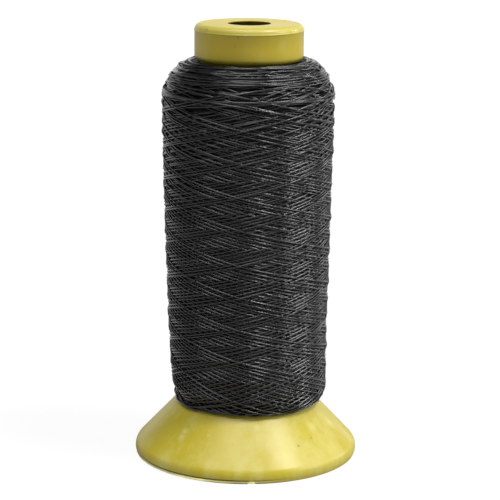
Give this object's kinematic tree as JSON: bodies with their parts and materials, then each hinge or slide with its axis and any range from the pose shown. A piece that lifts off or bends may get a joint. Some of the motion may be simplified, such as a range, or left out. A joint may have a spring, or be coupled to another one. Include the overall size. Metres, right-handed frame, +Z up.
{
  "type": "spool of thread",
  "caption": "Tall flared spool full of black bonded sewing thread, with a hollow barrel that drops over a thread stand's pin.",
  "frame": {"origin": "centre of the foot, on the surface that the spool stands on", "axes": "+Z up the spool's axis, from the foot to the head; the thread's tucked start is towards +X"},
  "size_m": [0.085, 0.085, 0.165],
  "materials": {
    "spool_plastic": "satin moulded plastic, soft gloss",
    "thread": "black bonded and waxed filament thread"
  },
  "bodies": {
    "root": {"spool_body": "spool_plastic", "thread_pack": "thread", "thread_turns": "thread"}
  },
  "joints": []
}
